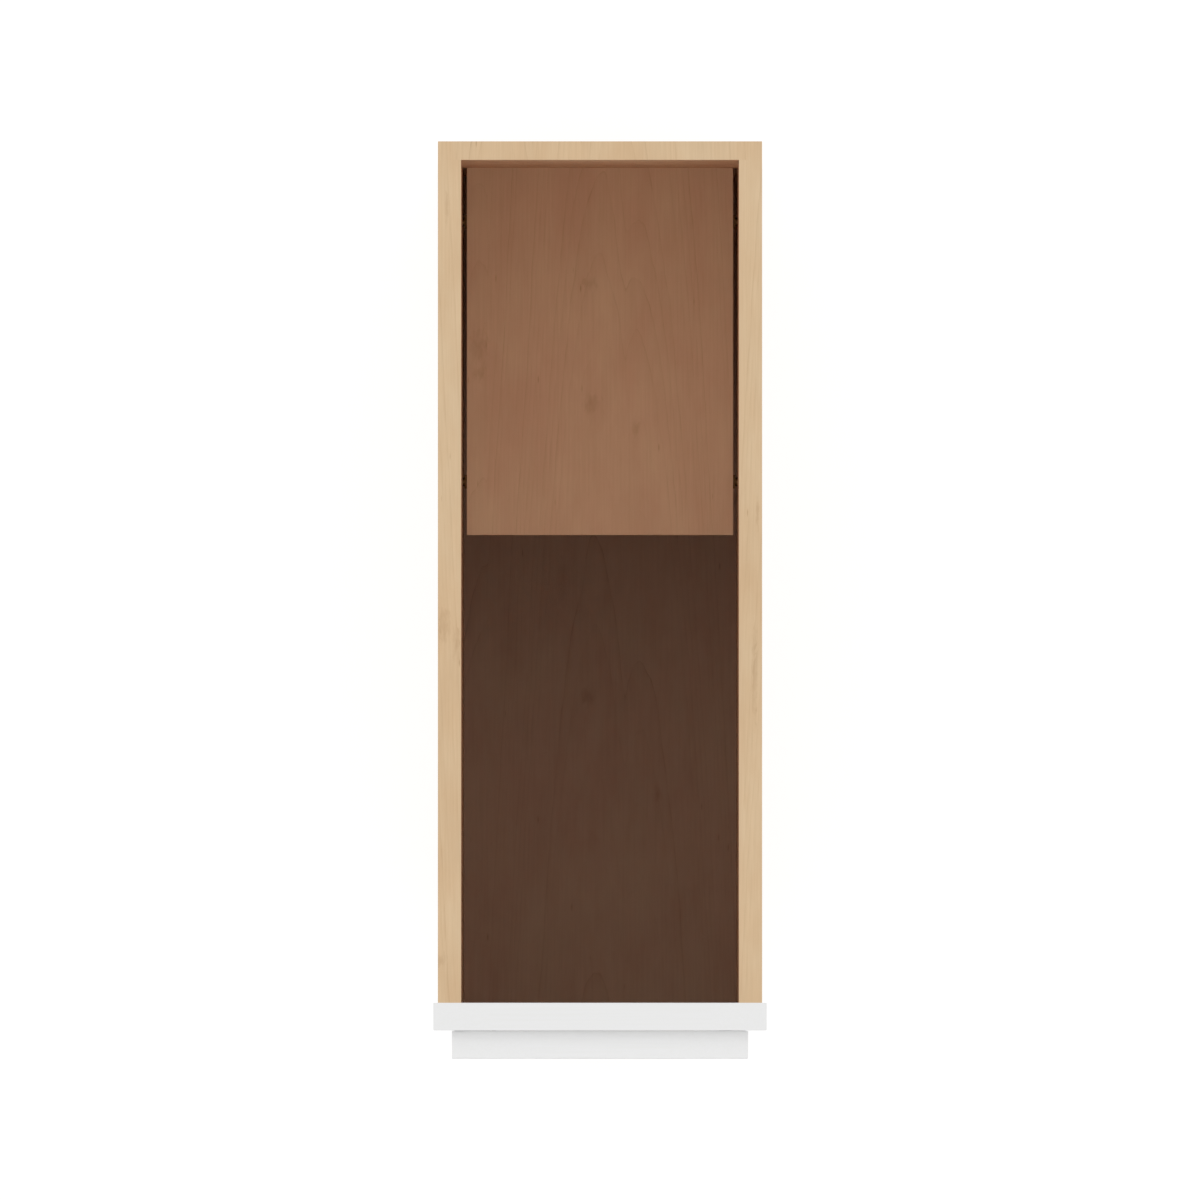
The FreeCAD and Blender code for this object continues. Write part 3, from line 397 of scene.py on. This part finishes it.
def studioFloor(s):
    # a level disc: radius grows by the square of one parameter, the other goes round
    rings, turns = s["floorRings"], s["floorTurns"]
    r, a = np.meshgrid(np.linspace(0, 1, rings) ** 2 * s["floorRadius"],
                       np.linspace(0, 2 * np.pi, turns, endpoint=False), indexing="ij")
    points = np.stack([r * np.cos(a), r * np.sin(a), np.zeros_like(r)], -1).reshape(-1, 3)
    i, j = np.meshgrid(np.arange(1, rings - 1), np.arange(turns), indexing="ij")
    nextJ = (j + 1) % turns
    quads = np.stack([i * turns + j, (i + 1) * turns + j, (i + 1) * turns + nextJ, i * turns + nextJ], -1)
    cap = np.arange(turns, 2 * turns)
    mesh = bpy.data.meshes.new("studioFloor")
    mesh.from_pydata(points.tolist(), [], quads.reshape(-1, 4).tolist() + [cap.tolist()])
    floor = bpy.data.objects.new("studioFloor", mesh)
    bpy.context.scene.collection.objects.link(floor)
    finish, tree = newFinish("palePaperFloor")
    path = addNode(tree, "ShaderNodeLightPath").node
    seen = addNode(tree, "ShaderNodeMath", {0: path.outputs["Is Camera Ray"], 1: path.outputs["Is Glossy Ray"]},
                   operation="MAXIMUM")
    seen = addNode(tree, "ShaderNodeMath", {0: seen, 1: path.outputs["Is Transmission Ray"]}, operation="MAXIMUM")
    # seen straight on it glows nearly white and the rest is paper in the sky's light, so shadows stay
    paper = addNode(tree, "ShaderNodeBsdfDiffuse", {"Color": [s["floorTone"]] * 3 + [1]})
    shaded = addNode(tree, "ShaderNodeBsdfDiffuse", {"Color": [s["shadowTone"]] * 3 + [1]})
    glow = addNode(tree, "ShaderNodeEmission", {"Color": (1, 1, 1, 1), "Strength": s["floorGlow"]})
    white = addNode(tree, "ShaderNodeAddShader", {0: shaded, 1: glow})
    closeFinish(tree, addNode(tree, "ShaderNodeMixShader", {0: seen, 1: paper, 2: white}))
    mesh.materials.append(finish)


def softSky(s):
    world = bpy.data.worlds.new("softSky")
    bpy.context.scene.world = world
    world.use_nodes = True
    tree = world.node_tree
    tree.nodes.clear()
    way = addNode(tree, "ShaderNodeTexCoord")
    height = addNode(tree, "ShaderNodeSeparateXYZ", {0: way}).node.outputs["Z"]
    height = addNode(tree, "ShaderNodeMath", {0: height, 1: 0.0}, operation="MAXIMUM")
    # brightness falls as a power of the height's sine; scaled so that a level surface gets skyLevel
    glow = addNode(tree, "ShaderNodeMath", {0: height, 1: s["skyPower"]}, operation="POWER")
    glow = addNode(tree, "ShaderNodeMath", {0: glow, 1: s["skyLevel"] * (s["skyPower"] + 2) / 2, 2: s["lowLevel"]},
                   operation="MULTIPLY_ADD")
    path = addNode(tree, "ShaderNodeLightPath").node
    seen = addNode(tree, "ShaderNodeMath", {0: path.outputs["Is Camera Ray"], 1: path.outputs["Is Glossy Ray"]},
                   operation="MAXIMUM")
    seen = addNode(tree, "ShaderNodeMath", {0: seen, 1: path.outputs["Is Transmission Ray"]}, operation="MAXIMUM")
    level = addNode(tree, "ShaderNodeMix", {0: seen, 2: glow, 3: 1.0})
    sky = addNode(tree, "ShaderNodeBackground", {"Color": (1, 1, 1, 1), "Strength": level})
    addNode(tree, "ShaderNodeOutputWorld", {"Surface": sky})


studioFloor(stageSet)
softSky(stageSet)
print("floor and sky set")


# Camera: a very long lens, the cabinet's back at the top of the picture. It stands above the face frame,
# so that the frame's own back and the bottom rail stay hidden.

viewSet = dict(frameWidth=822.6 * mm, halfAngle=0.62, sensor=36.0, forward=285 * mm, clipStart=0.1, clipRoom=5.0)


def planCamera(v):
    top = cadBox[1].z
    halfTan = math.tan(math.radians(v["halfAngle"]))
    reach = v["frameWidth"] / 2 / halfTan
    lean = math.asin(v["forward"] / reach)
    data = bpy.data.cameras.new("planCamera")
    data.sensor_width = v["sensor"]
    data.lens = v["sensor"] / 2 / halfTan
    camera = bpy.data.objects.new("planCamera", data)
    camera.location = (0, -v["forward"], top + reach * math.cos(lean))
    camera.rotation_euler = (lean, 0, 0)
    data.clip_start = v["clipStart"]
    data.clip_end = camera.location.z + v["clipRoom"]
    bpy.context.scene.collection.objects.link(camera)
    bpy.context.scene.camera = camera


planCamera(viewSet)
bpy.context.scene.view_settings.view_transform = "Standard"
print("camera set")
